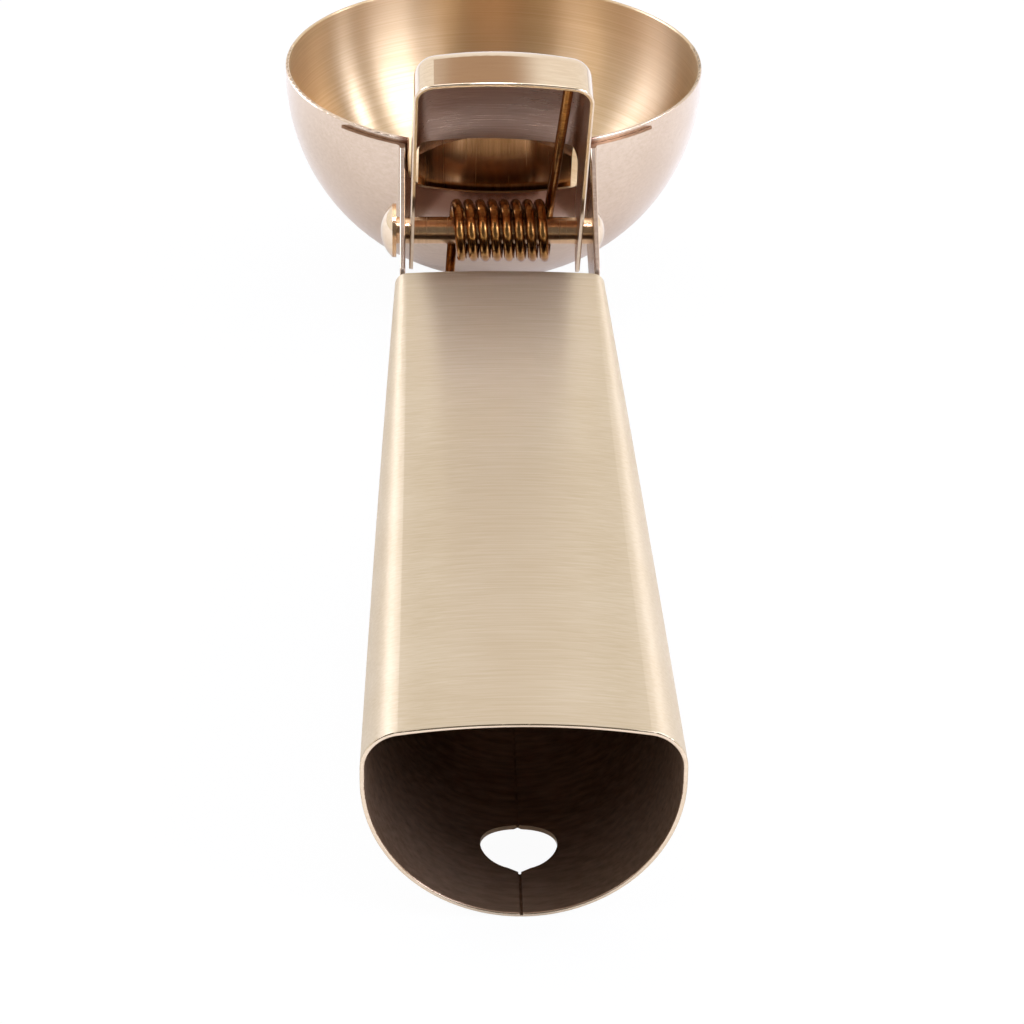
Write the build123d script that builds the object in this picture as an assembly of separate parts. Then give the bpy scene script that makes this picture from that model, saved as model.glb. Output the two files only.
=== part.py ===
from build123d import *
import math
import os

# Ice cream scoop with a thumb lever: a half-round bowl and a tube handle joined by two
# cheeks, and a sprung lever whose blade sweeps the ball out of the bowl.
# Frame: +X right, +Y from the handle to the bowl, +Z up, millimetres. The rim is level,
# the bowl and the handle's end rest on z = 0, and the origin is under the box's middle.
# A place in side view is (back, up): back from the bowl's centre, up from its rim.

# Bowl
BOWL_RADIUS = 28.0          # outside of the half sphere
BOWL_WALL = 0.5
LIP_HEIGHT = 1.2            # straight band between the half sphere and the rim
NOTCH_DEPTH = 6.8           # rim to the lower edge of the gap that the blade works through
NOTCH_CORNER = 2.0
NOTCH_LAND = 0.3            # notch's side in from the cheek's inner face

# Handle, a D-section tube: crowned flat top and half-round underside
HANDLE_LENGTH = 114.0
HANDLE_WALL = 0.5
NECK_LENGTH = 16.0          # back of the bowl to the handle's mouth
MOUTH_DROP = 9.95           # rim to the handle's top at its mouth
MOUTH_HALF_WIDTH = 13.25
MOUTH_HEIGHT = 18.6
MOUTH_CORNER = 1.6
MOUTH_CROWN = 0.4           # rise of the top from its corners to its middle
FLARE_LENGTH = 41.0         # mouth to the section where the quicker flare ends
FLARE_HALF_WIDTH = 14.65
FLARE_CORNER = 3.0
FLARE_CROWN = 1.1
END_HALF_WIDTH = 16.7
END_HEIGHT = 23.7
END_CORNER = 4.5
END_CROWN = 1.6
HANG_HOLE_RADIUS = 4.1
HANG_HOLE_INSET = 12.1      # handle's end to the hole's axis
SEAM_WIDTH = 0.3            # groove of the butt seam inside the underside
SEAM_DEPTH = 0.25
HOLE_POINT = 0.6            # point of the hole where it meets the seam on the end's side
HOLE_POINT_HALF = 1.2       # half the width of that point
HOLE_NICK = 0.3             # smaller point on the mouth's side

# Cheeks, each a flat ear with a wing that laps the bowl and a tail inside the handle
CHEEK_SHEET = 0.7
CHEEK_BEND = 1.0            # inside radius of the bend between ear and wing
WING_DROP = 0.8             # rim to the wing's top edge
WING_WIDTH = 7.6
WING_HEIGHT = 13.4
WING_BULGE = 1.6            # rise of the wing's curved edge over its chord
EAR_LAND = 0.6              # flat of the ear behind the wing, at its top
EAR_LOWER_SAG = 0.8
EAR_SHOULDER = 2.4          # ear below the tail at the handle's mouth
EAR_ROUND = 0.8
TAIL_LENGTH = 8.0

# Lever hood: leaning web, folded pad for the thumb and two side walls
LEVER_SHEET = 0.5
SIDE_PLAY = 0.97            # mean gap between the hood and each cheek
LEVER_SHIFT = -0.4          # the lever sits nearer the left cheek
LEVER_TILT = 1.0            # degrees that it leans to the right on the rivet
WEB_LEAN = 40.0             # degrees back from upright
WEB_FOOT = 0.9              # web's lower edge above the rim, in the middle
WEB_ARCH = 0.4              # rise of that edge from the walls to the middle
WEB_LENGTH = 22.5
FOLD_RADIUS = 5.0           # outside radius of the fold between web and pad
PAD_DIP = 4.4               # degrees that the pad falls towards the user
PAD_LENGTH = 7.3
HOOD_CORNER = 2.8           # outside radius between the walls and the web or pad
HOOD_CROWN = 1.1            # rise of web and pad from the walls to the middle
REAR_MARGIN = 4.0           # pivot axis to the walls' rear edge
FRONT_MARGIN = 5.0          # pivot axis to the walls' lower front corner
HOOD_TAIL = 4.5             # walls below the place where the rear edge passes the pivot
HOOD_ROUND = 1.8

# Ejector blade, a strip pressed to the bowl's curve, with a tab welded to the web
BLADE_CLEARANCE = 0.5       # blade's back to the bowl's inside
BLADE_MARGIN = 1.05         # blade's edge in from the hood's side
BLADE_REACH = 62.0          # degrees down from the rim to the tip
BLADE_TIP_ROUND = 7.0
TAB_LENGTH = 7.5
TAB_ROUND = 3.0

# Pivot rivet
PIVOT_GAP = 5.2             # bowl's outside to the pivot axis, along the rim's plane
PIVOT_DROP = 9.45           # rim to the pivot axis
PIN_RADIUS = 1.75
PIN_CLEARANCE = 0.1
HEAD_RADIUS = 3.45
HEAD_HEIGHT = 2.0
HEAD_BAND = 0.5             # straight edge of the head under its dome
HEAD_STANDOFF = 0.45        # end play between the head and the left cheek
TAIL_RADIUS = 2.5
TAIL_HEIGHT = 0.95

# Torsion spring round the rivet
WIRE_RADIUS = 0.55
COIL_RADIUS = 3.45          # to the middle of the wire
COIL_PITCH = 1.52
COIL_TURNS = 8              # whole turns seen from behind
COIL_SHIFT = 0.35
UPPER_LEG = 27.0
LOWER_LEG_DIP = 36.0        # degrees below level, into the handle's mouth
LEG_GAP = 0.25              # leg to the sheet that it bears on

SEAT_GAP = 0.05             # between welded or butted sheets
EDGE_ROUND = 0.2            # softened edges of the cut sheets

# Places that follow from the sizes above
RIM_Z = BOWL_RADIUS + LIP_HEIGHT
MOUTH_BACK = BOWL_RADIUS + NECK_LENGTH
BOWL_Y = (MOUTH_BACK + HANDLE_LENGTH - BOWL_RADIUS) / 2
MOUTH_Y = BOWL_Y - MOUTH_BACK
END_Y = MOUTH_Y - HANDLE_LENGTH
MOUTH_TOP = RIM_Z - MOUTH_DROP
BOWL_CENTRE = (0, BOWL_Y, BOWL_RADIUS)
PIVOT = (BOWL_RADIUS + PIVOT_GAP, -PIVOT_DROP)
CHEEK_OUTER = MOUTH_HALF_WIDTH - HANDLE_WALL - 2 * SEAT_GAP
CHEEK_INNER = CHEEK_OUTER - CHEEK_SHEET
HOOD_HALF = CHEEK_INNER - SIDE_PLAY
BLADE_OUTER = BOWL_RADIUS - BOWL_WALL - BLADE_CLEARANCE
REACH_OUT = 2 * BOWL_RADIUS     # how far cutting shapes run past the object


def side(place):
    """Turn a (back, up) place of the side view into the frame's (y, z)."""
    return (BOWL_Y - place[0], RIM_Z + place[1])


def step(place, direction, distance):
    """Move a side-view place along a unit direction."""
    return (place[0] + direction[0] * distance, place[1] + direction[1] * distance)


def heading(degrees):
    """Unit (back, up) direction, measured from straight up towards the user."""
    angle = math.radians(degrees)
    return (math.sin(angle), math.cos(angle))


def sphere(radius):
    """Ball about the bowl's centre."""
    return Pos(*BOWL_CENTRE) * Sphere(radius)


def across(outline, left, right):
    """Extrude a closed side-view outline from x = left to x = right."""
    face = Plane.YZ.offset(left) * make_face(outline)
    return extrude(face, right - left, dir=(1, 0, 0))


def pivot_rod(radius, left, right):
    """Round bar on the pivot axis."""
    y, z = side(PIVOT)
    bar = Cylinder(radius, right - left, rotation=(0, 90, 0))
    return Pos((left + right) / 2, y, z) * bar


def make_bowl():
    """Half-round bowl with a straight lip, a rounded rim and the blade's notch, cut radially."""
    inner = BOWL_RADIUS - BOWL_WALL
    rim_low = RIM_Z - BOWL_WALL / 2
    outline = [
        CenterArc((0, BOWL_RADIUS), BOWL_RADIUS, -90, 90),
        Line((BOWL_RADIUS, BOWL_RADIUS), (BOWL_RADIUS, rim_low)),
        ThreePointArc((BOWL_RADIUS, rim_low), (inner + BOWL_WALL / 2, RIM_Z), (inner, rim_low)),
        Line((inner, rim_low), (inner, BOWL_RADIUS)),
        CenterArc((0, BOWL_RADIUS), inner, 0, -90),
        Line((0, BOWL_WALL), (0, 0)),
    ]
    bowl = revolve(Plane.XZ * make_face(outline), Axis.Z)
    near = BOWL_RADIUS / 2
    spread = math.tan(math.asin((CHEEK_INNER - NOTCH_LAND) / BOWL_RADIUS))
    plan = [
        (-near * spread, -near),
        (near * spread, -near),
        (REACH_OUT * spread, -REACH_OUT),
        (-REACH_OUT * spread, -REACH_OUT),
    ]
    notch = extrude(make_face(Polyline(*plan, close=True)), NOTCH_DEPTH, both=True)
    lower_edges = notch.edges().group_by(Axis.Z)[0].sort_by(Axis.X)
    notch = fillet([lower_edges[0], lower_edges[-1]], NOTCH_CORNER)
    return Pos(0, BOWL_Y, 0) * (bowl - Pos(0, 0, RIM_Z) * notch)


def d_section(y, half_width, top, bottom, corner, crown, inset):
    """Handle's section at y, drawn in by the inset: crowned top over a half round."""
    radius = half_width - inset
    apex = top - inset
    edge = apex - crown
    centre = bottom + half_width
    slant = radius * math.sqrt(0.5)
    outline = [
        ThreePointArc((-radius, edge), (0, apex), (radius, edge)),
        Line((radius, edge), (radius, centre)),
        ThreePointArc((radius, centre), (slant, centre - slant), (0, centre - radius)),
        ThreePointArc((0, centre - radius), (-slant, centre - slant), (-radius, centre)),
        Line((-radius, centre), (-radius, edge)),
    ]
    face = make_face(outline)
    rounding = max(min(corner - inset, edge - centre - HANDLE_WALL), inset / 2)
    face = fillet(face.vertices().group_by(Axis.Y)[-1], rounding)
    return Plane(origin=(0, y, 0), x_dir=(1, 0, 0), z_dir=(0, -1, 0)) * face


def handle_block(inset):
    """Solid through the handle's three sections, drawn in by the inset."""
    mouth_bottom = MOUTH_TOP - MOUTH_HEIGHT
    share = FLARE_LENGTH / HANDLE_LENGTH
    flare_top = MOUTH_TOP + (END_HEIGHT - MOUTH_TOP) * share
    flare_bottom = mouth_bottom * (1 - share)
    flare_y = MOUTH_Y - FLARE_LENGTH
    mouth = (MOUTH_Y, MOUTH_HALF_WIDTH, MOUTH_TOP, mouth_bottom, MOUTH_CORNER, MOUTH_CROWN)
    flare = (flare_y, FLARE_HALF_WIDTH, flare_top, flare_bottom, FLARE_CORNER, FLARE_CROWN)
    end = (END_Y, END_HALF_WIDTH, END_HEIGHT, 0, END_CORNER, END_CROWN)
    return loft([d_section(*section, inset) for section in (mouth, flare, end)])


def make_handle():
    """Open D-section tube with a seam along its underside and the hang hole across it."""
    tube = handle_block(0) - handle_block(HANDLE_WALL)
    layers = tube.edges().group_by(Axis.Y)
    tube = fillet(layers[0] + layers[-1], EDGE_ROUND)
    seam = handle_block(HANDLE_WALL - SEAM_DEPTH) & Box(SEAM_WIDTH, 2 * HANDLE_LENGTH, MOUTH_HEIGHT)
    base = math.sqrt(HANG_HOLE_RADIUS ** 2 - HOLE_POINT_HALF ** 2)
    points = [
        (HOLE_POINT_HALF, -base),
        (HOLE_POINT_HALF * HOLE_NICK / HOLE_POINT, base),
        (0, HANG_HOLE_RADIUS + HOLE_NICK),
        (-HOLE_POINT_HALF * HOLE_NICK / HOLE_POINT, base),
        (-HOLE_POINT_HALF, -base),
        (0, -HANG_HOLE_RADIUS - HOLE_POINT),
    ]
    outline = Circle(HANG_HOLE_RADIUS) + make_face(Polyline(*points, close=True))
    hole = Pos(0, END_Y + HANG_HOLE_INSET, 0) * extrude(outline, END_HALF_WIDTH / 2, both=True)
    return tube - seam - hole


def make_right_cheek():
    """Ear with its wing on the bowl, its shoulder at the mouth and its tail in the handle."""
    wing_inner = BOWL_RADIUS + SEAT_GAP
    wing_outer = wing_inner + CHEEK_SHEET
    wing_top = RIM_Z - WING_DROP
    wing_tip = (CHEEK_OUTER + WING_WIDTH, wing_top)
    wing_foot = (CHEEK_OUTER, wing_top - WING_HEIGHT)
    wing_outline = [
        Line((CHEEK_INNER, wing_top), wing_tip),
        SagittaArc(wing_tip, wing_foot, WING_BULGE),
        Line(wing_foot, (CHEEK_INNER, wing_foot[1])),
        Line((CHEEK_INNER, wing_foot[1]), (CHEEK_INNER, wing_top)),
    ]
    wing_face = Plane.XZ.offset(-BOWL_Y) * make_face(wing_outline)
    wing = extrude(wing_face, REACH_OUT, dir=(0, -1, 0))
    wing &= sphere(wing_outer) - sphere(wing_inner)

    mouth = MOUTH_BACK - SEAT_GAP
    tail_end = MOUTH_BACK + TAIL_LENGTH
    tail_top = -(MOUTH_DROP + MOUTH_CROWN + MOUTH_CORNER)
    tail_low = -(MOUTH_DROP + MOUTH_HEIGHT - MOUTH_HALF_WIDTH) - CHEEK_SHEET
    ear_top_back = math.sqrt(wing_outer ** 2 - CHEEK_INNER ** 2) + EAR_LAND
    bowl_side = BOWL_RADIUS / 2
    ear_foot = -(WING_DROP + WING_HEIGHT)
    corners = [
        (bowl_side, -WING_DROP),
        (ear_top_back, -WING_DROP),
        (mouth, -MOUTH_DROP),
        (mouth, tail_top),
        (tail_end, tail_top),
        (tail_end, tail_low),
        (mouth, tail_low),
        (mouth, tail_low - EAR_SHOULDER),
    ]
    outline = Polyline(*[side(corner) for corner in corners]).edges()
    bowl_foot = side((bowl_side, ear_foot))
    outline += [SagittaArc(side(corners[-1]), bowl_foot, -EAR_LOWER_SAG)]
    outline += [Line(bowl_foot, side(corners[0]))]
    ear = across(outline, CHEEK_INNER, CHEEK_OUTER) - sphere(wing_inner)
    shoulder = ear.edges().filter_by(Axis.X).sort_by_distance((CHEEK_INNER, *side(corners[2])))[0]
    ear = fillet(shoulder, EAR_ROUND)

    cheek = ear + wing
    bend = [
        edge for edge in cheek.edges().filter_by(GeomType.CIRCLE)
        if abs(edge.center().X - CHEEK_OUTER) < SEAT_GAP
        and abs(edge.radius - math.sqrt(wing_outer ** 2 - CHEEK_OUTER ** 2)) < SEAT_GAP
    ]
    cheek = fillet(bend, CHEEK_BEND)
    slope = step(corners[1], heading(90), (mouth - ear_top_back) / 2)
    slope = step(slope, heading(180), (MOUTH_DROP - WING_DROP) / 2)
    slope_face = cheek.faces().sort_by_distance((CHEEK_INNER + CHEEK_SHEET / 2, *side(slope)))[0]
    cheek = fillet(slope_face.edges().filter_by(Axis.X, reverse=True), EDGE_ROUND)
    return cheek - pivot_rod(PIN_RADIUS + SEAT_GAP, 0, REACH_OUT)


def web_crease():
    """Place where the web's front face meets the blade's back, in the middle."""
    rise = WEB_FOOT + LIP_HEIGHT
    return (math.sqrt(BLADE_OUTER ** 2 - rise ** 2), WEB_FOOT)


def hood_line(inset):
    """Web, fold and pad in side view, drawn in by the inset, with both ends run on."""
    web = heading(WEB_LEAN)
    inward = heading(WEB_LEAN + 90)
    pad = heading(90 + PAD_DIP)
    centre = step(step(web_crease(), web, WEB_LENGTH), inward, FOLD_RADIUS)
    radius = FOLD_RADIUS - inset
    start = step(centre, inward, -radius)
    end = step(centre, heading(PAD_DIP), radius)
    return {
        "low": step(start, web, -REACH_OUT),
        "start": start,
        "middle": step(centre, heading((PAD_DIP + WEB_LEAN - 90) / 2), radius),
        "end": end,
        "lip": step(end, pad, PAD_LENGTH),
        "far": step(end, pad, REACH_OUT),
    }


def wall_corners():
    """Lower corners of the hood's walls, whose rear edge runs from the lip past the pivot."""
    lip = hood_line(0)["lip"]
    back = lip[0] - PIVOT[0]
    above = lip[1] - PIVOT[1]
    bearing = math.degrees(math.atan2(back, above))
    slope = bearing - math.degrees(math.asin(REAR_MARGIN / math.hypot(back, above)))
    front = heading(slope - 90)
    rear_low = step(step(PIVOT, front, -REAR_MARGIN), heading(slope + 180), HOOD_TAIL)
    return rear_low, step(rear_low, front, REAR_MARGIN + FRONT_MARGIN)


def lean(piece):
    """Shift a lever piece to its place on the rivet and lean it to the right."""
    axis = Axis((0, *side(PIVOT)), (0, 1, 0))
    return (Pos(LEVER_SHIFT, 0, 0) * piece).rotate(axis, LEVER_TILT)


def crown_radius():
    """Radius of the hood's crown across its width, on the outside."""
    return HOOD_HALF ** 2 / (2 * HOOD_CROWN) + HOOD_CROWN / 2


def crown_sag(inset, x):
    """How far the crown falls from its middle to x, on a surface drawn in by the inset."""
    radius = crown_radius() - inset
    return radius - math.sqrt(radius ** 2 - x ** 2)


def hood_block(inset):
    """Crowned channel along the hood's line, filled and drawn in by the inset, run on at both ends."""
    half = HOOD_HALF - inset
    edge = -inset - crown_sag(inset, half)
    depth = LEVER_SHEET / 2 - FOLD_RADIUS
    section = [ThreePointArc((-half, edge), (0, -inset), (half, edge))]
    section += Polyline((half, edge), (half, depth), (-half, depth), (-half, edge)).edges()
    face = make_face(section)
    face = fillet(face.vertices().group_by(Axis.Y)[-1], HOOD_CORNER - inset)

    line = {name: side(place) for name, place in hood_line(0).items()}
    path = Wire([
        Line((0, *line["low"]), (0, *line["start"])),
        ThreePointArc((0, *line["start"]), (0, *line["middle"]), (0, *line["end"])),
        Line((0, *line["end"]), (0, *line["far"])),
    ])
    foot = Plane(origin=path @ 0, x_dir=(1, 0, 0), z_dir=path % 0)
    cap = sweep(foot * face, path=path)

    core = hood_line(FOLD_RADIUS - LEVER_SHEET)
    below = (core["far"][0], core["low"][1])
    outline = [ThreePointArc(*[side(core[name]) for name in ("start", "middle", "end")])]
    closing = [core["end"], core["far"], below, core["low"], core["start"]]
    outline += Polyline(*[side(place) for place in closing]).edges()
    return cap + across(outline, -half, half)


def make_hood():
    """Pressed lever hood: crowned web, fold and thumb pad between two side walls."""
    lip = hood_line(0)["lip"]
    rear_low, front_low = wall_corners()
    web = heading(WEB_LEAN)
    web_low = step(web_crease(), web, (front_low[1] - WEB_FOOT) / web[1])
    above = (lip[0] - (rear_low[0] - lip[0]), 2 * lip[1] - rear_low[1])
    front = (web_low[0] - BOWL_RADIUS, web_low[1])
    corners = [above, rear_low, front_low, front, (front[0], above[1])]
    trim = across(Polyline(*[side(corner) for corner in corners], close=True), -REACH_OUT, REACH_OUT)
    block = hood_block(0) & trim

    wall_front = web_crease()[0] + (LEVER_SHEET + HOOD_CROWN) / web[1]
    wide = HOOD_HALF + LEVER_SHEET
    arch_top = RIM_Z + WEB_FOOT + 2 * SEAT_GAP
    arch_left = (-wide, arch_top - WEB_ARCH)
    arch_right = (wide, arch_top - WEB_ARCH)
    arch = [ThreePointArc(arch_left, (0, arch_top), arch_right)]
    arch += Polyline(arch_right, (wide, -REACH_OUT), (-wide, -REACH_OUT), arch_left).edges()
    gap_face = Plane.XZ.offset(-side((wall_front, 0))[0]) * make_face(arch)
    block -= extrude(gap_face, REACH_OUT, dir=(0, 1, 0))

    block = fillet(block.edges().filter_by(Axis.X).sort_by(Axis.Z)[:2], HOOD_ROUND)
    lip_middle = step(lip, heading(180), LEVER_SHEET / 2)
    rear_face = block.faces().sort_by_distance((0, *side(lip_middle)))[0]
    block = fillet(rear_face.edges().filter_by(Axis.X, reverse=True), EDGE_ROUND)
    hood = block - hood_block(LEVER_SHEET)
    return lean(hood) - pivot_rod(PIN_RADIUS + PIN_CLEARANCE, -REACH_OUT, REACH_OUT)


def make_blade():
    """Ejector blade: strip of a sphere inside the bowl, bent into a tab on the web."""
    half = HOOD_HALF - BLADE_MARGIN
    web = heading(WEB_LEAN)
    inward = heading(WEB_LEAN + 90)
    crease = web_crease()

    rise = BOWL_RADIUS - side(PIVOT)[1]
    tilt = math.radians(LEVER_TILT)
    centre_x = -rise * math.sin(tilt) - LEVER_SHIFT
    centre = (centre_x, BOWL_Y, BOWL_RADIUS - rise * (1 - math.cos(tilt)))
    hollow = Pos(*centre) * Sphere(BLADE_OUTER - LEVER_SHEET)

    middle = BLADE_REACH / 2
    angle = math.radians(middle)
    down_back = (0, -math.cos(angle), -math.sin(angle))
    facing = Plane(origin=centre, x_dir=(1, 0, 0), z_dir=down_back)
    tip = -BLADE_OUTER * math.sin(math.radians(BLADE_REACH - middle))
    strip = Pos(-centre_x, tip + REACH_OUT / 2) * Rectangle(2 * half, REACH_OUT)
    strip = fillet(strip.vertices().group_by(Axis.Y)[0], BLADE_TIP_ROUND)
    column = extrude(facing * strip, REACH_OUT, dir=facing.z_dir)
    spoon = column & (Pos(*centre) * Sphere(BLADE_OUTER) - hollow)

    along = Plane(
        origin=(0, *side(step(crease, inward, crown_radius()))),
        x_dir=(1, 0, 0),
        z_dir=(0, -web[0], web[1]),
    )
    web_bar = along * Cylinder(crown_radius() + SEAT_GAP, 2 * REACH_OUT)
    tab_bar = along * Cylinder(crown_radius() + SEAT_GAP + LEVER_SHEET, 2 * REACH_OUT)
    spoon &= web_bar

    tab_plane = Plane(origin=(0, *side(crease)), x_dir=(-1, 0, 0), z_dir=(0, web[1], web[0]))
    tab_face = Rectangle(2 * half, 2 * TAB_LENGTH)
    tab_face = tab_plane * fillet(tab_face.vertices().group_by(Axis.Y)[-1], TAB_ROUND)
    tab = extrude(tab_face, HOOD_CROWN + 2 * LEVER_SHEET, both=True) & (tab_bar - web_bar)
    return lean(spoon + (tab - hollow))


def dome(apex, edge, radius):
    """Arc of a spherical cap about the X axis, from the edge of its base to its apex."""
    height = abs(apex - edge)
    ball = (height ** 2 + radius ** 2) / (2 * height)
    half_height = ball - math.sqrt(ball ** 2 - radius ** 2 / 4)
    half_way = apex + math.copysign(half_height, edge - apex)
    return ThreePointArc((edge, radius), (half_way, radius / 2), (apex, 0))


def make_rivet():
    """Pivot rivet: domed head outside the left cheek, peened tail outside the right one."""
    head_in = -(CHEEK_OUTER + HEAD_STANDOFF)
    head_edge = head_in - HEAD_BAND
    head_out = head_in - HEAD_HEIGHT
    tail_in = CHEEK_OUTER + SEAT_GAP
    tail_out = tail_in + TAIL_HEIGHT
    shank = [
        (head_edge, HEAD_RADIUS),
        (head_in, HEAD_RADIUS),
        (head_in, PIN_RADIUS),
        (tail_in, PIN_RADIUS),
        (tail_in, TAIL_RADIUS),
    ]
    outline = [dome(head_out, head_edge, HEAD_RADIUS), dome(tail_out, tail_in, TAIL_RADIUS)]
    outline += Polyline(*shank).edges()
    outline += [Line((tail_out, 0), (head_out, 0))]
    y, z = side(PIVOT)
    return Pos(0, y, z) * revolve(make_face(outline), Axis.X)


def coil_angles():
    """Angles, from the front and over the top, where the wire enters and leaves the coil."""
    lead = COIL_PITCH / (2 * math.pi * COIL_RADIUS)
    tip_x = COIL_SHIFT + COIL_PITCH * COIL_TURNS / 2 + lead * UPPER_LEG
    lean_x = LEVER_SHIFT + UPPER_LEG * math.sin(math.radians(LEVER_TILT))
    inward = heading(WEB_LEAN + 90)
    fall = tip_x * math.sin(math.radians(LEVER_TILT)) * -inward[1]
    hollow = LEVER_SHEET + crown_sag(LEVER_SHEET, tip_x - lean_x) + fall
    web_inner = step(web_crease(), inward, hollow)
    front_up = heading(WEB_LEAN - 90)
    stand = (web_inner[0] - PIVOT[0]) * front_up[0] + (web_inner[1] - PIVOT[1]) * front_up[1]
    reach = math.hypot(COIL_RADIUS, UPPER_LEG)
    slack = math.acos((stand - WIRE_RADIUS - LEG_GAP) / reach) - math.atan2(UPPER_LEG, COIL_RADIUS)
    leave = math.radians(WEB_LEAN) + slack + 2 * math.pi * COIL_TURNS
    enter = -math.radians(90 - LOWER_LEG_DIP)
    return enter, leave


def coil_point(angle):
    """Middle of the wire at an angle of the coil."""
    enter, leave = coil_angles()
    y, z = side(PIVOT)
    x = COIL_SHIFT + COIL_PITCH * (angle - (enter + leave) / 2) / (2 * math.pi)
    return Vector(x, y + COIL_RADIUS * math.cos(angle), z + COIL_RADIUS * math.sin(angle))


def coil_tangent(angle):
    """Unit direction of the wire at an angle of the coil."""
    rise = COIL_PITCH / (2 * math.pi)
    return Vector(rise, -COIL_RADIUS * math.sin(angle), COIL_RADIUS * math.cos(angle)).normalized()


def biarc(start, start_way, end, end_way):
    """Two arcs that leave start and reach end along the given directions."""
    chord = end - start
    ways = start_way + end_way
    bend = 2 * (1 - start_way.dot(end_way))
    along = chord.dot(ways)
    handle = (math.sqrt(along ** 2 + bend * chord.dot(chord)) - along) / bend
    joint = (start + end + (start_way - end_way) * handle) * 0.5
    first = TangentArc(start, joint, tangent=start_way)
    second = TangentArc(joint, end, tangent=first % 1)
    return [first, second]


def spring_ends():
    """Tips of both legs: the lower one over the handle's floor, the upper one on the web."""
    enter, leave = coil_angles()
    start = coil_point(enter)
    way = coil_tangent(enter)
    floor_radius = MOUTH_HALF_WIDTH - HANDLE_WALL - WIRE_RADIUS - LEG_GAP
    above_centre = start.Z - (MOUTH_TOP - MOUTH_HEIGHT + MOUTH_HALF_WIDTH)
    square = way.X ** 2 + way.Z ** 2
    half = start.X * way.X + above_centre * way.Z
    rest = start.X ** 2 + above_centre ** 2 - floor_radius ** 2
    lower_leg = (half + math.sqrt(half ** 2 - square * rest)) / square
    return start - way * lower_leg, coil_point(leave) + coil_tangent(leave) * UPPER_LEG


def make_spring():
    """Torsion spring as one unbroken wire: lower leg, coil of quarter turns, upper leg."""
    enter, leave = coil_angles()
    lower_tip, upper_tip = spring_ends()
    quarters = round((leave - enter) / (math.pi / 2))
    angles = [enter + (leave - enter) * index / quarters for index in range(quarters + 1)]
    path = [Line(lower_tip, coil_point(enter))]
    for first, second in zip(angles, angles[1:]):
        path += biarc(coil_point(first), coil_tangent(first), coil_point(second), coil_tangent(second))
    path += [Line(coil_point(leave), upper_tip)]
    wire = Wire([edge for piece in path for edge in piece.edges()])
    section = Plane(origin=lower_tip, z_dir=coil_tangent(enter)) * Circle(WIRE_RADIUS)
    return sweep(section, path=wire)


def coil_gap():
    """Least gap between neighbouring turns, measured between points along the wire."""
    enter, leave = coil_angles()
    spacing = 5  # degrees between the points
    last = int(math.degrees(leave - enter))
    points = [coil_point(enter + math.radians(turned)) for turned in range(0, last, spacing)]
    half_turn = 180 // spacing
    least = min(
        (points[first] - points[second]).length
        for first in range(len(points))
        for second in range(first + half_turn, min(first + 3 * half_turn, len(points)))
    )
    return least - 2 * WIRE_RADIUS


def main():
    """Build every piece and write one STEP file each."""
    right_cheek = make_right_cheek()
    pieces = {
        "bowl": make_bowl(),
        "handle_tube": make_handle(),
        "right_cheek": right_cheek,
        "left_cheek": mirror(right_cheek, about=Plane.YZ),
        "lever_hood": make_hood(),
        "ejector_blade": make_blade(),
        "pivot_rivet": make_rivet(),
        "return_spring": make_spring(),
    }
    os.makedirs("parts", exist_ok=True)
    for name, piece in pieces.items():
        export_step(piece, f"parts/{name}.step")
    print(f"least gap between the spring's turns: {coil_gap():.3f} mm")


main()
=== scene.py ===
"""Looks of an ice cream scoop with a sprung thumb lever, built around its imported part.

Frame: +X right, +Y from the handle to the bowl, +Z up, metres. Sizes are written in
millimetres and pass through MM.
"""

import logging
import math
from dataclasses import dataclass, replace
from enum import Enum
from typing import Any, Callable, Sequence

import bmesh
import bpy
from mathutils import Matrix, Vector

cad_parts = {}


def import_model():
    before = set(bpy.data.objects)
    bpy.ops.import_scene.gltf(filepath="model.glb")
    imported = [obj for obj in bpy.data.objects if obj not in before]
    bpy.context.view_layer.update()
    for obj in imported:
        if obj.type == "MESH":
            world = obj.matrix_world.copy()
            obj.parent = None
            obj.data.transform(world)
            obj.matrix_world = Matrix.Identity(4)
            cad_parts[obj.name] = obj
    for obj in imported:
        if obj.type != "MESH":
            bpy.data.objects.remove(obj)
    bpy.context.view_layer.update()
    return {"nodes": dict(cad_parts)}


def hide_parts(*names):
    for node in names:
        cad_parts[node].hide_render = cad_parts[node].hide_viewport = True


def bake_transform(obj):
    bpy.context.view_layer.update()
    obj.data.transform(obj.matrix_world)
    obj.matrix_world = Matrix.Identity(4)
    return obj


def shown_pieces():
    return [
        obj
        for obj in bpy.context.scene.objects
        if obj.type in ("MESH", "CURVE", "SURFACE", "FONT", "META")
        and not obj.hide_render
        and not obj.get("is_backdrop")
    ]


MM = 0.001
LOG = logging.getLogger("scoop")


class Grain(Enum):
    """Way that a finish's fine lines run on its piece."""

    ACROSS = "across"
    UPRIGHT = "upright"
    ROUND_BOWL = "round the bowl"


def linear(hex_colour: str) -> tuple[float, float, float, float]:
    """Turn an sRGB hex colour into linear light.

    Args:
        hex_colour: six hex digits after a hash sign.

    Returns:
        Linear red, green and blue, and an alpha of 1.
    """
    light = []
    for place in (1, 3, 5):
        share = int(hex_colour[place:place + 2], 16) / 255
        light.append(share / 12.92 if share <= 0.04045 else ((share + 0.055) / 1.055) ** 2.4)
    return (light[0], light[1], light[2], 1.0)


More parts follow.
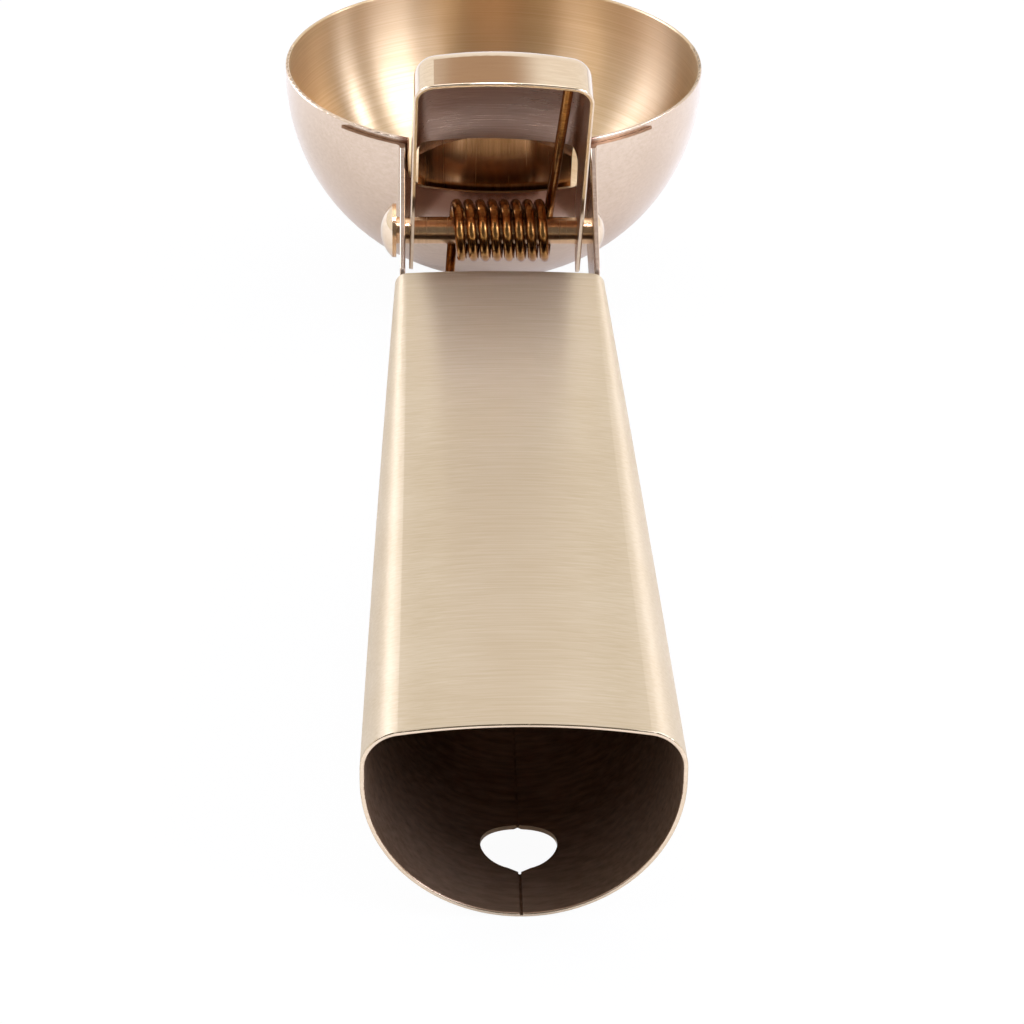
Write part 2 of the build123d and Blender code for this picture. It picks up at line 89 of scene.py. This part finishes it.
def add_node(
    tree: bpy.types.NodeTree, kind: str, links: dict[str | int, Any] | None = None, **settings: Any
) -> bpy.types.Node:
    """Add a node, set its properties and fill its sockets.

    Args:
        tree: node tree that gets the node.
        kind: Blender's name of the node type.
        links: socket name or number to a value, or to another node's output socket.
        settings: properties of the node itself.

    Returns:
        The new node.
    """
    node = tree.nodes.new(kind)
    for name, value in settings.items():
        setattr(node, name, value)
    for socket, value in (links or {}).items():
        if isinstance(value, bpy.types.NodeSocket):
            tree.links.new(value, node.inputs[socket])
        else:
            node.inputs[socket].default_value = value
    return node


@dataclass(frozen=True)
class PaintedShade:
    """Soft-edged darker zone: painted shade where the lever shades the bowl.

    Each pair gives the place, in mm, where the painted shade is gone and where it is full:
    out from the middle, along the scoop, and up.
    """

    colour: str
    side_mm: tuple[float, float]
    along_mm: tuple[float, float]
    up_mm: tuple[float, float]

    def over(
        self,
        tree: bpy.types.NodeTree,
        coordinates: bpy.types.NodeSocket,
        colour: bpy.types.NodeSocket,
    ) -> bpy.types.NodeSocket:
        """Lay the painted shade over a colour.

        Args:
            tree: node tree of the material.
            coordinates: place on the piece.
            colour: colour without the painted shade.

        Returns:
            Socket with the shaded colour.
        """
        x, y, z = add_node(tree, "ShaderNodeSeparateXYZ", {0: coordinates}).outputs
        out = add_node(tree, "ShaderNodeMath", {0: x}, operation="ABSOLUTE").outputs[0]
        share: float | bpy.types.NodeSocket = 1.0
        for place, (gone, full) in ((out, self.side_mm), (y, self.along_mm), (z, self.up_mm)):
            share = add_node(
                tree,
                "ShaderNodeMapRange",
                {"Value": place, "From Min": gone * MM, "From Max": full * MM, "To Max": share},
                interpolation_type="SMOOTHSTEP",
            ).outputs[0]
        return add_node(
            tree,
            "ShaderNodeMix",
            {"Factor": share, "A": colour, "B": linear(self.colour)},
            data_type="RGBA",
        ).outputs["Result"]


@dataclass(frozen=True)
class BrassFinish:
    """Brass sheet or wire, with the fine lines that its last working left on it.

    The lines show as streaks of slightly darker metal, a swing of roughness and a small
    bump. Under 0.1 mm they can't be seen in the render, so they are drawn coarser, and soft
    clouds mix into them. A sheet that falls away at its sides does so beyond shoulder_mm
    from its middle, and shoulder_fall says how fast, in mm for each square mm.
    """

    LINE_DETAIL = 4.0
    LINE_ROUGHNESS = 0.6
    CLOUD_MM = 9.0
    CLOUD_DETAIL = 2.0
    CLOUD_SHARE = 0.3
    COLOUR_SPAN = (0.36, 0.64)
    ROUGH_SPAN = (0.3, 0.7)
    QUARTER_TURN = 0.25

    name: str
    bright: str
    streak: str
    roughness: tuple[float, float]
    grain: Grain
    line_mm: float
    run_mm: float
    bump_mm: float
    anisotropy: float = 0.0
    axis: str = "Z"
    centre_mm: tuple[float, float, float] = (0.0, 0.0, 0.0)
    shoulder_mm: float = 0.0
    shoulder_fall: float = 0.0
    metallic: float = 1.0
    painted_shade: PaintedShade | None = None

    def place(
        self, tree: bpy.types.NodeTree, coordinates: bpy.types.NodeSocket
    ) -> bpy.types.NodeSocket:
        """Build the coordinates in which the lines are drawn.

        Args:
            tree: node tree of the material.
            coordinates: place on the piece.

        Returns:
            Socket with a vector counted in line widths and run lengths.
        """
        fine = 1 / (self.line_mm * MM)
        slow = 1 / (self.run_mm * MM)
        centre = [-value * MM for value in self.centre_mm]
        moved = add_node(
            tree, "ShaderNodeVectorMath", {0: coordinates, 1: centre}, operation="ADD"
        ).outputs[0]
        scale = (slow, fine, fine) if self.grain is Grain.ACROSS else (fine, slow, slow)
        if self.grain is Grain.ROUND_BOWL:
            x, y, z = add_node(tree, "ShaderNodeSeparateXYZ", {0: moved}).outputs
            level = add_node(tree, "ShaderNodeCombineXYZ", {0: x, 1: y}).outputs[0]
            reach = add_node(
                tree, "ShaderNodeVectorMath", {0: level}, operation="LENGTH"
            ).outputs["Value"]
            depth = add_node(tree, "ShaderNodeMath", {0: reach, 1: z}, operation="ARCTAN2").outputs[0]
            turn = add_node(tree, "ShaderNodeMath", {0: x, 1: y}, operation="ARCTAN2").outputs[0]
            moved = add_node(tree, "ShaderNodeCombineXYZ", {0: depth, 1: turn}).outputs[0]
            bowl_radius = Bowl.radius_mm * MM
            scale = (fine * bowl_radius, slow * bowl_radius, 0.0)
        return add_node(
            tree, "ShaderNodeVectorMath", {0: moved, 1: scale}, operation="MULTIPLY"
        ).outputs[0]

    def relief(
        self, tree: bpy.types.NodeTree, lines: bpy.types.NodeSocket, coordinates: bpy.types.NodeSocket
    ) -> bpy.types.NodeSocket:
        """Add up the height of the lines and of the sheet's shoulders.

        Args:
            tree: node tree of the material.
            lines: pattern of the lines.
            coordinates: place on the piece.

        Returns:
            Socket with the height in metres.
        """
        fine = add_node(
            tree, "ShaderNodeMath", {0: lines, 1: self.bump_mm * MM}, operation="MULTIPLY"
        ).outputs[0]
        if not self.shoulder_fall:
            return fine
        x = add_node(tree, "ShaderNodeSeparateXYZ", {0: coordinates}).outputs["X"]
        out = add_node(tree, "ShaderNodeMath", {0: x}, operation="ABSOLUTE").outputs[0]
        past = add_node(
            tree, "ShaderNodeMath", {0: out, 1: self.shoulder_mm * MM}, operation="SUBTRACT"
        ).outputs[0]
        past = add_node(tree, "ShaderNodeMath", {0: past, 1: 0.0}, operation="MAXIMUM").outputs[0]
        square = add_node(tree, "ShaderNodeMath", {0: past, 1: past}, operation="MULTIPLY").outputs[0]
        return add_node(
            tree,
            "ShaderNodeMath",
            {0: square, 1: -self.shoulder_fall / MM, 2: fine},
            operation="MULTIPLY_ADD",
        ).outputs[0]

    def material(self) -> bpy.types.Material:
        """Make the material.

        Returns:
            Brass with streaks, a swing of roughness and a bump along its lines.
        """
        material = bpy.data.materials.new(self.name)
        material.use_nodes = True
        tree = material.node_tree
        tree.nodes.clear()
        coordinates = add_node(tree, "ShaderNodeTexCoord").outputs["Object"]
        lines = add_node(
            tree,
            "ShaderNodeTexNoise",
            {
                "Vector": self.place(tree, coordinates),
                "Scale": 1.0,
                "Detail": self.LINE_DETAIL,
                "Roughness": self.LINE_ROUGHNESS,
            },
        ).outputs["Fac"]
        clouds = add_node(
            tree,
            "ShaderNodeTexNoise",
            {"Vector": coordinates, "Scale": 1 / (self.CLOUD_MM * MM), "Detail": self.CLOUD_DETAIL},
        ).outputs["Fac"]
        mixed = add_node(
            tree,
            "ShaderNodeMix",
            {"Factor": self.CLOUD_SHARE, "A": lines, "B": clouds},
            data_type="FLOAT",
        ).outputs[0]
        colour = add_node(tree, "ShaderNodeValToRGB", {"Fac": mixed})
        stops = zip(colour.color_ramp.elements, self.COLOUR_SPAN, (self.streak, self.bright))
        for stop, position, shade in stops:
            stop.position = position
            stop.color = linear(shade)
        base = colour.outputs["Color"]
        # Painted shade, where one is given, darkens the colour.
        if self.painted_shade:
            base = self.painted_shade.over(tree, coordinates, base)
        rough = add_node(
            tree,
            "ShaderNodeMapRange",
            {
                "Value": mixed,
                "From Min": self.ROUGH_SPAN[0],
                "From Max": self.ROUGH_SPAN[1],
                "To Min": self.roughness[1],
                "To Max": self.roughness[0],
            },
        ).outputs[0]
        bump = add_node(
            tree,
            "ShaderNodeBump",
            {"Strength": 1.0, "Distance": 1.0, "Height": self.relief(tree, lines, coordinates)},
        ).outputs[0]
        round_axis = add_node(
            tree, "ShaderNodeTangent", direction_type="RADIAL", axis=self.axis
        ).outputs[0]
        shader = add_node(
            tree,
            "ShaderNodeBsdfPrincipled",
            {
                "Base Color": base,
                "Metallic": self.metallic,
                "Roughness": rough,
                "Anisotropic": self.anisotropy,
                "Anisotropic Rotation": self.QUARTER_TURN,
                "Tangent": round_axis,
                "Normal": bump,
            },
        )
        add_node(tree, "ShaderNodeOutputMaterial", {"Surface": shader.outputs[0]})
        return material


# Buffed brass: clear reflections with hardly a line in them.
POLISHED = BrassFinish(
    name="polished_brass",
    bright="#e2ccb0",
    streak="#d9c0a2",
    roughness=(0.08, 0.13),
    grain=Grain.ACROSS,
    line_mm=0.4,
    run_mm=10.0,
    bump_mm=0.0005,
)
# Brass rubbed with fine abrasive: pale, with soft reflections.
SATIN = BrassFinish(
    name="satin_brass",
    bright="#d7c1ab",
    streak="#ccb49d",
    roughness=(0.2, 0.28),
    grain=Grain.ACROSS,
    line_mm=0.4,
    run_mm=10.0,
    bump_mm=0.001,
)


def paint(
    node: bpy.types.Object,
    materials: Sequence[bpy.types.Material],
    choose: Callable[[Vector, Vector], int],
) -> None:
    """Give each face of a piece one of several materials.

    Args:
        node: piece to dress.
        materials: materials in the order of the slots.
        choose: takes a face's centre and normal, and gives the slot's number.
    """
    node.data.materials.clear()
    for material in materials:
        node.data.materials.append(material)
    for face in node.data.polygons:
        face.material_index = choose(face.center, face.normal)


@dataclass
class Bowl:
    """Half-round bowl: satin outside, spun lines inside, with shade painted between the ears where the
    lever shades it.
    """

    radius_mm: float = 28.0
    rim_mm: float = 29.2
    centre_y_mm: float = 65.0
    # Painted shade: the bowl's outside between the ears, in the lever's shadow.
    painted_shade: PaintedShade = PaintedShade("#7c5846", side_mm=(13.5, 12.0), along_mm=(48.0, 45.0), up_mm=(14.0, 20.0))

    def side(self, centre: Vector, normal: Vector) -> int:
        """Give slot 1 to a face that looks into the bowl, and 0 to the others."""
        middle = Vector((0.0, self.centre_y_mm, self.radius_mm)) * MM
        return int(normal.dot(centre - middle) < 0)

    def dress(self, nodes: dict[str, bpy.types.Object]) -> None:
        """Dress the bowl.

        Args:
            nodes: the part's nodes by name.
        """
        # Spun on a lathe: round lines that throw a bright fan of light across the bowl.
        spun = BrassFinish(
            name="spun_brass",
            bright="#e0c6a2",
            streak="#d2b48c",
            roughness=(0.32, 0.4),
            grain=Grain.ROUND_BOWL,
            line_mm=0.2,
            run_mm=60.0,
            bump_mm=0.003,
            anisotropy=0.95,
            centre_mm=(0.0, self.centre_y_mm, self.rim_mm),
        ).material()
        # Satin, with shade painted browner between the ears, under the lever.
        outside = replace(SATIN, name="painted_shade_satin_brass", painted_shade=self.painted_shade).material()
        paint(nodes["bowl"], [outside, spun], self.side)


@dataclass
class Handle:
    """D-section tube: brushed across outside, dark and unfinished inside."""

    axis_mm: float = 12.5
    end_share: float = 0.8
    hole_y_mm: float = -80.9
    hole_reach_mm: float = 4.6

    def side(self, centre: Vector, normal: Vector) -> int:
        """Tell the sides of the tube apart.

        Args:
            centre: middle of a face.
            normal: way that the face looks.

        Returns:
            Slot 0 outside the tube, 1 inside it, 2 on its rims and the hole's wall.
        """
        from_hole = Vector((centre.x, centre.y - self.hole_y_mm * MM))
        at_hole = from_hole.length < self.hole_reach_mm * MM and abs(normal.z) < self.end_share
        if abs(normal.y) > self.end_share or at_hole:
            return 2
        axis = Vector((0.0, centre.y, self.axis_mm * MM))
        return int(normal.dot(centre - axis) < 0)

    def dress(self, nodes: dict[str, bpy.types.Object], polished: bpy.types.Material) -> None:
        """Dress the handle.

        Args:
            nodes: the part's nodes by name.
            polished: finish of the rims at both ends.
        """
        # Brushed crosswise on a belt: fine level streaks, and light drawn out along the tube.
        brushed = BrassFinish(
            name="cross_brushed_brass",
            bright="#cfbda2",
            streak="#c6b294",
            roughness=(0.44, 0.52),
            grain=Grain.ACROSS,
            line_mm=0.3,
            run_mm=14.0,
            bump_mm=0.002,
            anisotropy=0.66,
            axis="Y",
            shoulder_mm=7.0,
            shoulder_fall=0.02,
        ).material()
        # Left with its scale from annealing: dull and brown.
        dark = BrassFinish(
            name="scaled_brass",
            bright="#b4947a",
            streak="#8e7058",
            roughness=(0.42, 0.55),
            grain=Grain.ACROSS,
            line_mm=0.8,
            run_mm=5.0,
            bump_mm=0.01,
            metallic=0.86,
        ).material()
        paint(nodes["handle_tube"], [brushed, dark, polished], self.side)


@dataclass
class Lever:
    """Thumb lever: polished hood with a brushed hollow, and its ejector blade."""

    hollow_mm: tuple[float, float, float] = (-0.6, 23.5, 34.0)

    def side(self, centre: Vector, normal: Vector) -> int:
        """Give slot 1 to a face that looks into the hood, and 0 to the others."""
        return int(normal.dot(Vector(self.hollow_mm) * MM - centre) > 0)

    def dress(self, nodes: dict[str, bpy.types.Object], polished: bpy.types.Material) -> None:
        """Dress the hood and the blade.

        Args:
            nodes: the part's nodes by name.
            polished: finish of the pad and the walls' outsides.
        """
        # Brushed before it was pressed: level hairlines that break up its reflections.
        brushed = BrassFinish(
            name="brushed_web_brass",
            bright="#d6b59c",
            streak="#be9a82",
            roughness=(0.24, 0.36),
            grain=Grain.ACROSS,
            line_mm=0.25,
            run_mm=20.0,
            bump_mm=0.006,
        ).material()
        # Pressed to the bowl's curve, with drag lines along it; painted darker and redder as shade
        # behind the lever.
        blade = BrassFinish(
            name="shaded_blade_brass",
            bright="#c0946c",
            streak="#a0764e",
            roughness=(0.2, 0.3),
            grain=Grain.UPRIGHT,
            line_mm=0.3,
            run_mm=25.0,
            bump_mm=0.006,
        ).material()
        paint(nodes["lever_hood"], [polished, brushed], self.side)
        paint(nodes["ejector_blade"], [blade], lambda centre, normal: 0)


@dataclass
class Cheeks:
    """Two satin ears that join the bowl to the handle, with darker cut edges; the top and wing edges
    are painted darker as shade.
    """

    names: tuple[str, str] = ("left_cheek", "right_cheek")
    wing_x_mm: float = 13.0
    level_share: float = 0.95
    upright_share: float = 0.1
    face_share: float = 0.5

    def side(self, centre: Vector, normal: Vector) -> int:
        """Tell a cheek's cut edges from its flat faces.

        Args:
            centre: middle of a face.
            normal: way that the face looks.

        Returns:
            Slot 0 on the flat faces, 1 along the top and on the wing's edges, 2 on the ear's.
        """
        on_wing = abs(centre.x) > self.wing_x_mm * MM
        # Slot 1 is painted shade along the top and on the wing's edges.
        if normal.z > self.level_share or on_wing and abs(normal.y) < self.upright_share:
            return 1
        return 0 if on_wing or abs(normal.x) > self.face_share else 2

    def dress(self, nodes: dict[str, bpy.types.Object]) -> None:
        """Dress both cheeks.

        Args:
            nodes: the part's nodes by name.
        """
        # Cut edges painted dull brown: painted shade of the gap between the wing and the bowl.
        cut = BrassFinish(
            name="shaded_cut_edge_brass",
            bright="#9c7c60",
            streak="#7a5a42",
            roughness=(0.4, 0.55),
            grain=Grain.ACROSS,
            line_mm=0.3,
            run_mm=2.0,
            bump_mm=0.01,
        )
        # Sheared and lightly rubbed: paler and smoother than the shaded top edge.
        sheared = replace(
            cut, name="sheared_edge_brass", bright="#a08c7a", streak="#8a7462", bump_mm=0.004
        )
        materials = [finish.material() for finish in (SATIN, cut, sheared)]
        for name in self.names:
            paint(nodes[name], materials, self.side)


@dataclass
class Pivot:
    """Rivet through the cheeks and the lever, with polished domes at its ends."""

    name: str = "pivot_rivet"
    dome_share: float = 0.5

    def side(self, centre: Vector, normal: Vector) -> int:
        """Give slot 1 to a face that looks out at either end, and 0 to the others."""
        return int(normal.x * math.copysign(1, centre.x) > self.dome_share)

    def dress(self, nodes: dict[str, bpy.types.Object], polished: bpy.types.Material) -> None:
        """Dress the rivet.

        Args:
            nodes: the part's nodes by name.
            polished: finish of the domes.
        """
        # Turned on a lathe: warm and glossy, with fine rings round the pin.
        turned = BrassFinish(
            name="turned_pin_brass",
            bright="#e4bc90",
            streak="#cfa47a",
            roughness=(0.2, 0.3),
            grain=Grain.UPRIGHT,
            line_mm=0.25,
            run_mm=12.0,
            bump_mm=0.001,
        ).material()
        paint(nodes[self.name], [turned, polished], self.side)


@dataclass
class ReturnSpring:
    """Torsion spring of round wire about the rivet, from its lower to its upper leg."""

    axis_mm: tuple[float, float] = (31.8, 19.75)
    coil_radius_mm: float = 3.45
    wire_radius_mm: float = 0.64
    pitch_mm: float = 1.52
    start_x_mm: float = -5.9
    enter_deg: float = -54.0
    leave_deg: float = 2906.973
    lower_tip_mm: tuple[float, float, float] = (-7.386, 16.688, 4.506)
    upper_tip_mm: tuple[float, float, float] = (8.490, 22.658, 45.319)
    ring_sides: int = 18
    steps_per_turn: int = 44
    tip_round_mm: float = 0.15
    tip_segments: int = 3
    tip_profile: float = 0.5
    weld_mm: float = 0.001

    def point(self, degrees: float) -> Vector:
        """Middle of the wire at an angle of the coil.

        Args:
            degrees: angle from the front and over the top.

        Returns:
            Place in metres.
        """
        angle = math.radians(degrees)
        x = self.start_x_mm + self.pitch_mm * (degrees - self.enter_deg) / 360
        y = self.axis_mm[0] + self.coil_radius_mm * math.cos(angle)
        z = self.axis_mm[1] + self.coil_radius_mm * math.sin(angle)
        return Vector((x, y, z)) * MM

    def build(self) -> bpy.types.Object:
        """Model the wire: a round end turned through the coil and drawn out into both legs.

        Returns:
            The spring's object, which stands for the part's own spring.
        """
        mesh = bmesh.new()
        enter = math.radians(self.enter_deg)
        start = self.point(self.enter_deg)
        outward = Vector((0.0, math.cos(enter), math.sin(enter)))
        along = Vector((0.0, -math.sin(enter), math.cos(enter)))
        stand = Matrix((Vector((1, 0, 0)), outward, along)).transposed().to_4x4()
        made = bmesh.ops.create_circle(
            mesh,
            cap_ends=True,
            segments=self.ring_sides,
            radius=self.wire_radius_mm * MM,
            matrix=Matrix.Translation(start) @ stand,
        )
        face = made["verts"][0].link_faces[0]
        turned = self.leave_deg - self.enter_deg
        steps = round(turned / 360 * self.steps_per_turn)
        rise = Vector((self.pitch_mm * MM * turned / 360 / steps, 0, 0))
        spun = bmesh.ops.spin(
            mesh,
            geom=[*face.verts, *face.edges, face],
            cent=(0.0, self.axis_mm[0] * MM, self.axis_mm[1] * MM),
            axis=(1, 0, 0),
            dvec=rise,
            angle=math.radians(turned),
            steps=steps,
        )
        last = [item for item in spun["geom_last"] if isinstance(item, bmesh.types.BMFace)][0]
        self.draw_out(mesh, last, Vector(self.upper_tip_mm) * MM - self.point(self.leave_deg))
        mesh.faces.ensure_lookup_table()
        first = min(
            (item for item in mesh.faces if len(item.verts) == self.ring_sides),
            key=lambda item: (item.calc_center_median() - start).length,
        )
        self.draw_out(mesh, first, Vector(self.lower_tip_mm) * MM - start)
        bmesh.ops.remove_doubles(mesh, verts=mesh.verts, dist=self.weld_mm * MM)
        bmesh.ops.recalc_face_normals(mesh, faces=mesh.faces)
        ends = [item for item in mesh.faces if len(item.verts) == self.ring_sides]
        bmesh.ops.bevel(
            mesh,
            geom=[edge for item in ends for edge in item.edges],
            offset=self.tip_round_mm * MM,
            affect="EDGES",
            segments=self.tip_segments,
            profile=self.tip_profile,
            material=-1,
        )
        data = bpy.data.meshes.new("spring_wire")
        mesh.to_mesh(data)
        mesh.free()
        data.polygons.foreach_set("use_smooth", [True] * len(data.polygons))
        spring = bpy.data.objects.new("wound_spring", data)
        bpy.context.scene.collection.objects.link(spring)
        return spring

    def draw_out(self, mesh: bmesh.types.BMesh, face: bmesh.types.BMFace, leg: Vector) -> None:
        """Draw a round end out into a straight leg.

        Args:
            mesh: the wire's mesh.
            face: end of the wire.
            leg: way and length of the leg.
        """
        grown = bmesh.ops.extrude_face_region(mesh, geom=[face])["geom"]
        verts = [item for item in grown if isinstance(item, bmesh.types.BMVert)]
        bmesh.ops.translate(mesh, verts=verts, vec=leg)
        if face.is_valid:
            bmesh.ops.delete(mesh, geom=[face], context="FACES_ONLY")

    def dress(self) -> None:
        """Build the spring in place of the part's own, which it hides, and give it drawn wire."""
        # Drawn wire, darkened as it was wound and heated: glossy copper brown with flecks.
        wire = BrassFinish(
            name="drawn_spring_brass",
            bright="#c08c50",
            streak="#82542c",
            roughness=(0.14, 0.26),
            grain=Grain.ACROSS,
            line_mm=0.3,
            run_mm=3.0,
            bump_mm=0.004,
        ).material()
        spring = self.build()
        spring.data.materials.append(wire)
        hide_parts("return_spring")
        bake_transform(spring)


@dataclass(frozen=True)
class Softbox:
    """Square soft lamp that faces a place on the scoop.

    Its azimuth counts from straight ahead towards the right, its height from level. A
    spread under 180 degrees is that of a grid in front of it.
    """

    name: str
    azimuth_deg: float
    height_deg: float
    side_m: float
    watts: float
    distance_m: float = 0.8
    target_mm: tuple[float, float, float] = (0.0, 40.0, 20.0)
    spread_deg: float = 180.0


@dataclass
class Studio:
    """Pale floor, soft light all round and the camera behind the handle."""

    camera_mm: tuple[float, float, float] = (-12.52, -432.67, 238.43)
    heading_deg: float = -1.833
    down_deg: float = 29.243
    roll_deg: float = 0.905
    focal_px: float = 3983.7
    image_px: float = 1024.0
    sensor_mm: float = 36.0
    clip_m: tuple[float, float] = (0.01, 50.0)
    floor_m: float = 6.0
    floor_colour: str = "#f4f4f4"
    floor_glow: float = 0.96
    card_deg: tuple[float, float] = (-0.7, 33.0)
    card_size_deg: tuple[float, float] = (8.5, 3.5)
    card_colour: str = "#b69c86"
    dark_deg: tuple[float, float] = (180.0, 22.0)
    dark_size_deg: tuple[float, float] = (62.0, 32.0)
    dark_level: float = 0.17
    room_level: float = 1.12
    lamp_colour: str = "#d8e3ff"
    lamps: tuple[Softbox, ...] = (
        Softbox("overhead_softbox", 0.0, 72.0, 0.5, 1.1),
        Softbox("right_rear_softbox", 114.0, 30.0, 0.34, 3.2),
        Softbox("right_strip", 79.0, 26.0, 0.1, 1.3),
        Softbox("left_front_softbox", -62.0, 30.0, 0.36, 3.0),
        Softbox("left_rear_softbox", -128.0, 32.0, 0.2, 0.5),
        Softbox("right_back_softbox", 134.0, 26.0, 0.35, 1.0),
        Softbox(
            "handle_grid",
            180.0,
            76.0,
            0.05,
            0.0038,
            distance_m=0.3,
            target_mm=(0.0, 10.0, 24.0),
            spread_deg=14.0,
        ),
    )

    def floor(self) -> None:
        """Lay the floor, white to the camera and with a soft shadow."""
        mesh = bmesh.new()
        bmesh.ops.create_grid(mesh, x_segments=1, y_segments=1, size=self.floor_m)
        data = bpy.data.meshes.new("floor")
        mesh.to_mesh(data)
        mesh.free()
        floor = bpy.data.objects.new("floor", data)
        bpy.context.scene.collection.objects.link(floor)
        # Matt paper: even white to the camera, and dull enough to keep a soft shadow.
        material = bpy.data.materials.new("white_paper")
        material.use_nodes = True
        tree = material.node_tree
        tree.nodes.clear()
        white = linear("#ffffff")
        paper = add_node(tree, "ShaderNodeBsdfDiffuse", {"Color": linear(self.floor_colour)})
        glow = add_node(tree, "ShaderNodeEmission", {"Color": white, "Strength": 1.0})
        seen = add_node(tree, "ShaderNodeLightPath").outputs["Is Camera Ray"]
        share = add_node(
            tree, "ShaderNodeMath", {0: seen, 1: self.floor_glow}, operation="MULTIPLY"
        ).outputs[0]
        mixed = add_node(
            tree,
            "ShaderNodeMixShader",
            {0: share, 1: paper.outputs[0], 2: glow.outputs[0]},
        )
        add_node(tree, "ShaderNodeOutputMaterial", {"Surface": mixed.outputs[0]})
        data.materials.append(material)
        floor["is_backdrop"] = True

    @staticmethod
    def way_to(azimuth: float, height: float) -> Vector:
        """Direction from the scoop to a place in the room.

        Args:
            azimuth: degrees from straight ahead towards the right.
            height: degrees above level.

        Returns:
            Unit vector.
        """
        turn = math.radians(azimuth)
        rise = math.radians(height)
        level = math.cos(rise)
        return Vector((math.sin(turn) * level, math.cos(turn) * level, math.sin(rise)))

    def patch(
        self,
        tree: bpy.types.NodeTree,
        way: bpy.types.NodeSocket,
        place_deg: tuple[float, float],
        size_deg: tuple[float, float],
        values: tuple[float, float],
    ) -> bpy.types.NodeSocket:
        """Blend between two values over a round patch of the room.

        Args:
            tree: node tree of the world.
            way: direction that is looked in.
            place_deg: azimuth and height of the patch's middle.
            size_deg: radius where the blend starts, and radius where it is done.
            values: value outside the patch, and value in it.

        Returns:
            Socket with the blended value.
        """
        facing = add_node(
            tree, "ShaderNodeVectorMath", {0: way, 1: self.way_to(*place_deg)}, operation="DOT_PRODUCT"
        ).outputs["Value"]
        outer, inner = (math.cos(math.radians(size)) for size in size_deg)
        return add_node(
            tree,
            "ShaderNodeMapRange",
            {
                "Value": facing,
                "From Min": outer,
                "From Max": inner,
                "To Min": values[0],
                "To Max": values[1],
            },
            interpolation_type="SMOOTHSTEP",
        ).outputs[0]

    def world(self) -> None:
        """Light the room: white all round, dark behind the camera, a dim card ahead and above."""
        world = bpy.data.worlds.new("studio")
        world.use_nodes = True
        tree = world.node_tree
        tree.nodes.clear()
        way = add_node(tree, "ShaderNodeTexCoord").outputs["Generated"]
        card = self.patch(tree, way, self.card_deg, self.card_size_deg, (0.0, 1.0))
        level = self.patch(
            tree, way, self.dark_deg, self.dark_size_deg, (self.room_level, self.dark_level)
        )
        white = linear("#ffffff")
        wall = add_node(
            tree,
            "ShaderNodeMix",
            {"Factor": card, "A": white, "B": linear(self.card_colour)},
            data_type="RGBA",
        )
        room = add_node(
            tree, "ShaderNodeBackground", {"Color": wall.outputs["Result"], "Strength": level}
        )
        sheet = add_node(tree, "ShaderNodeBackground", {"Color": white, "Strength": 1.0})
        seen = add_node(tree, "ShaderNodeLightPath").outputs["Is Camera Ray"]
        back = add_node(
            tree, "ShaderNodeMixShader", {0: seen, 1: room.outputs[0], 2: sheet.outputs[0]}
        )
        add_node(tree, "ShaderNodeOutputWorld", {"Surface": back.outputs[0]})
        bpy.context.scene.world = world

    def lights(self) -> None:
        """Hang the soft lamps round the scoop."""
        for box in self.lamps:
            light = bpy.data.lights.new(box.name, "AREA")
            light.size = box.side_m
            light.energy = box.watts
            light.spread = math.radians(box.spread_deg)
            light.color = linear(self.lamp_colour)[:3]
            lamp = bpy.data.objects.new(box.name, light)
            way = self.way_to(box.azimuth_deg, box.height_deg)
            lamp.location = Vector(box.target_mm) * MM + way * box.distance_m
            lamp.rotation_mode = "QUATERNION"
            lamp.rotation_quaternion = (-way).to_track_quat("-Z", "Y")
            bpy.context.scene.collection.objects.link(lamp)

    def camera(self) -> None:
        """Stand the camera behind and above the handle, as in the photograph."""
        heading = math.radians(self.heading_deg)
        down = math.radians(self.down_deg)
        roll = math.radians(self.roll_deg)
        forward = Vector(
            (-math.sin(heading) * math.cos(down), math.cos(heading) * math.cos(down), -math.sin(down))
        )
        level = Vector((math.cos(heading), math.sin(heading), 0.0))
        upright = level.cross(forward)
        right = level * math.cos(roll) + upright * math.sin(roll)
        up = upright * math.cos(roll) - level * math.sin(roll)
        data = bpy.data.cameras.new("camera")
        data.sensor_width = self.sensor_mm
        data.lens = self.focal_px * self.sensor_mm / self.image_px
        data.clip_start, data.clip_end = self.clip_m
        camera = bpy.data.objects.new("camera", data)
        turn = Matrix((right, up, -forward)).transposed().to_4x4()
        camera.matrix_world = Matrix.Translation(Vector(self.camera_mm) * MM) @ turn
        bpy.context.scene.collection.objects.link(camera)
        bpy.context.scene.camera = camera

    def set_up(self) -> None:
        """Build the studio."""
        bpy.context.scene.view_settings.view_transform = "Standard"
        self.floor()
        self.world()
        self.lights()
        self.camera()


def main() -> None:
    """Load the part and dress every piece."""
    logging.basicConfig(level=logging.INFO, format="%(name)s: %(message)s")
    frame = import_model()
    nodes = frame["nodes"]
    polished = POLISHED.material()
    Bowl().dress(nodes)
    Handle().dress(nodes, polished)
    Cheeks().dress(nodes)
    Lever().dress(nodes, polished)
    Pivot().dress(nodes, polished)
    ReturnSpring().dress()
    Studio().set_up()
    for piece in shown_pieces():
        LOG.info("%s has %d faces", piece.name, len(piece.data.polygons))


if __name__ == "__main__":
    main()
